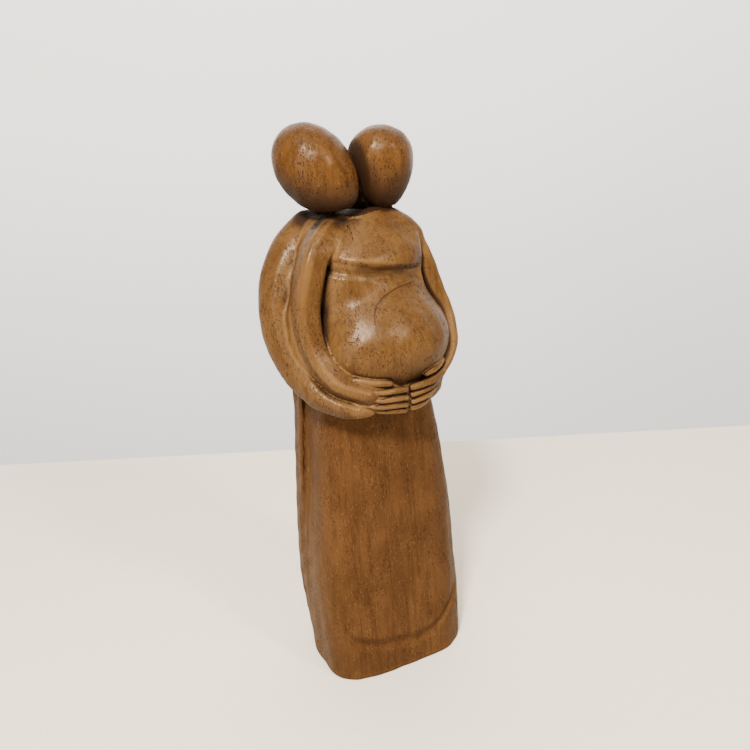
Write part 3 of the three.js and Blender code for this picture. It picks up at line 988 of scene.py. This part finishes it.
for index, node in enumerate(NODES, 1):
    make_piece(node, quads[index])

# ---------------------------------------------------------------------------------------------
# Stage, lights and camera
# ---------------------------------------------------------------------------------------------


def flat(name, corners, material):
    """A flat sheet of the stage."""
    mesh = bpy.data.meshes.new(name)
    mesh.from_pydata(corners, [], [(0, 1, 2, 3)])
    sheet = bpy.data.objects.new(name, mesh)
    bpy.context.scene.collection.objects.link(sheet)
    mesh.materials.append(material)


AZIMUTH = math.radians(-25.0)
ahead = Vector((-math.sin(AZIMUTH), math.cos(AZIMUTH), 0))
right = Vector((math.cos(AZIMUTH), math.sin(AZIMUTH), 0))
ROOM = 3.0  # how far the table reaches forward, and table and wall to both sides, in metres
EDGE_AT, EDGE_TURN = 0.203, -0.055  # the table's far edge, behind the carving, and how it is turned
WALL_AT, WALL_GLOW = 0.55, 0.38  # a softly lit wall stands further back
WALL_FOOT, WALL_TOP = -1.2, 2.4
table = matt("pale_table", colour(0.82, 0.73, 0.58), 0.5)
wall = matt("pale_wall", colour(0.97, 0.95, 0.93), 0.85, WALL_GLOW)

SIDES = (-ROOM, ROOM)
near_left, near_right = (right * aside - ahead * ROOM for aside in SIDES)
far_left, far_right = (right * aside + ahead * (EDGE_AT + EDGE_TURN * aside) for aside in SIDES)
wall_left, wall_right = (right * aside + ahead * WALL_AT for aside in SIDES)
foot, top = Vector((0, 0, WALL_FOOT)), Vector((0, 0, WALL_TOP))
flat("floor", [near_left, near_right, far_right, far_left], table)
flat("backdrop", [wall_left + foot, wall_right + foot, wall_right + top, wall_left + top], wall)


LIGHTS_AIM = 0.14  # the height that the lights point at


def area_light(name, azimuth, elevation, distance, size, power, tint):
    """A soft light that shines on the carving from that direction, counted from its front."""
    a, e = math.radians(azimuth), math.radians(elevation)
    way = Vector((math.sin(a) * math.cos(e), -math.cos(a) * math.cos(e), math.sin(e)))
    light = bpy.data.lights.new(name, "AREA")
    light.shape = "RECTANGLE"
    light.size, light.size_y = size
    light.energy = power
    light.color = tint
    lamp = bpy.data.objects.new(name, light)
    lamp.location = Vector((0, 0, LIGHTS_AIM)) + way * distance
    lamp.rotation_euler = (-way).to_track_quat("-Z", "Y").to_euler()
    bpy.context.scene.collection.objects.link(lamp)


area_light("window", -39, 47, 1.1, (0.15, 0.15), 30, (1.0, 0.96, 0.9))
area_light("second_window", 22, 38, 1.3, (0.14, 0.18), 10, (1.0, 0.97, 0.93))
area_light("ceiling", -32, 68, 1.3, (0.9, 0.9), 12, (1.0, 0.98, 0.95))
area_light("doorway", -58, 12, 1.1, (0.3, 0.8), 5.5, (1.0, 0.96, 0.94))

world = bpy.data.worlds.new("room")
world.use_nodes = True
world.node_tree.nodes["Background"].inputs["Color"].default_value = (1.0, 0.97, 0.94, 1)
world.node_tree.nodes["Background"].inputs["Strength"].default_value = 0.22
bpy.context.scene.world = world

# The camera stands to the front left, looks down, and is tilted a little clockwise.
CAMERA_BACK, CAMERA_HEIGHT, CAMERA_ASIDE = 0.325, 0.275, 0.003
PITCH, ROLL = math.radians(22.5), math.radians(4.5)
SENSOR = 36
FOCAL_SHARE = 800 / 750  # focal length as a share of the picture's width
forward = ahead * math.cos(PITCH) + Vector((0, 0, -1)) * math.sin(PITCH)
above = right.cross(forward)
camera_x = right * math.cos(ROLL) - above * math.sin(ROLL)
camera_y = right * math.sin(ROLL) + above * math.cos(ROLL)
camera = bpy.data.cameras.new("camera")
camera.sensor_width = SENSOR
camera.lens = SENSOR * FOCAL_SHARE
camera.clip_start = 0.01
viewer = bpy.data.objects.new("camera", camera)
bpy.context.scene.collection.objects.link(viewer)
turn = Matrix((camera_x, camera_y, -forward)).transposed().to_4x4()
stand = -ahead * CAMERA_BACK + right * CAMERA_ASIDE + Vector((0, 0, CAMERA_HEIGHT))
viewer.matrix_world = Matrix.Translation(stand) @ turn
bpy.context.scene.camera = viewer
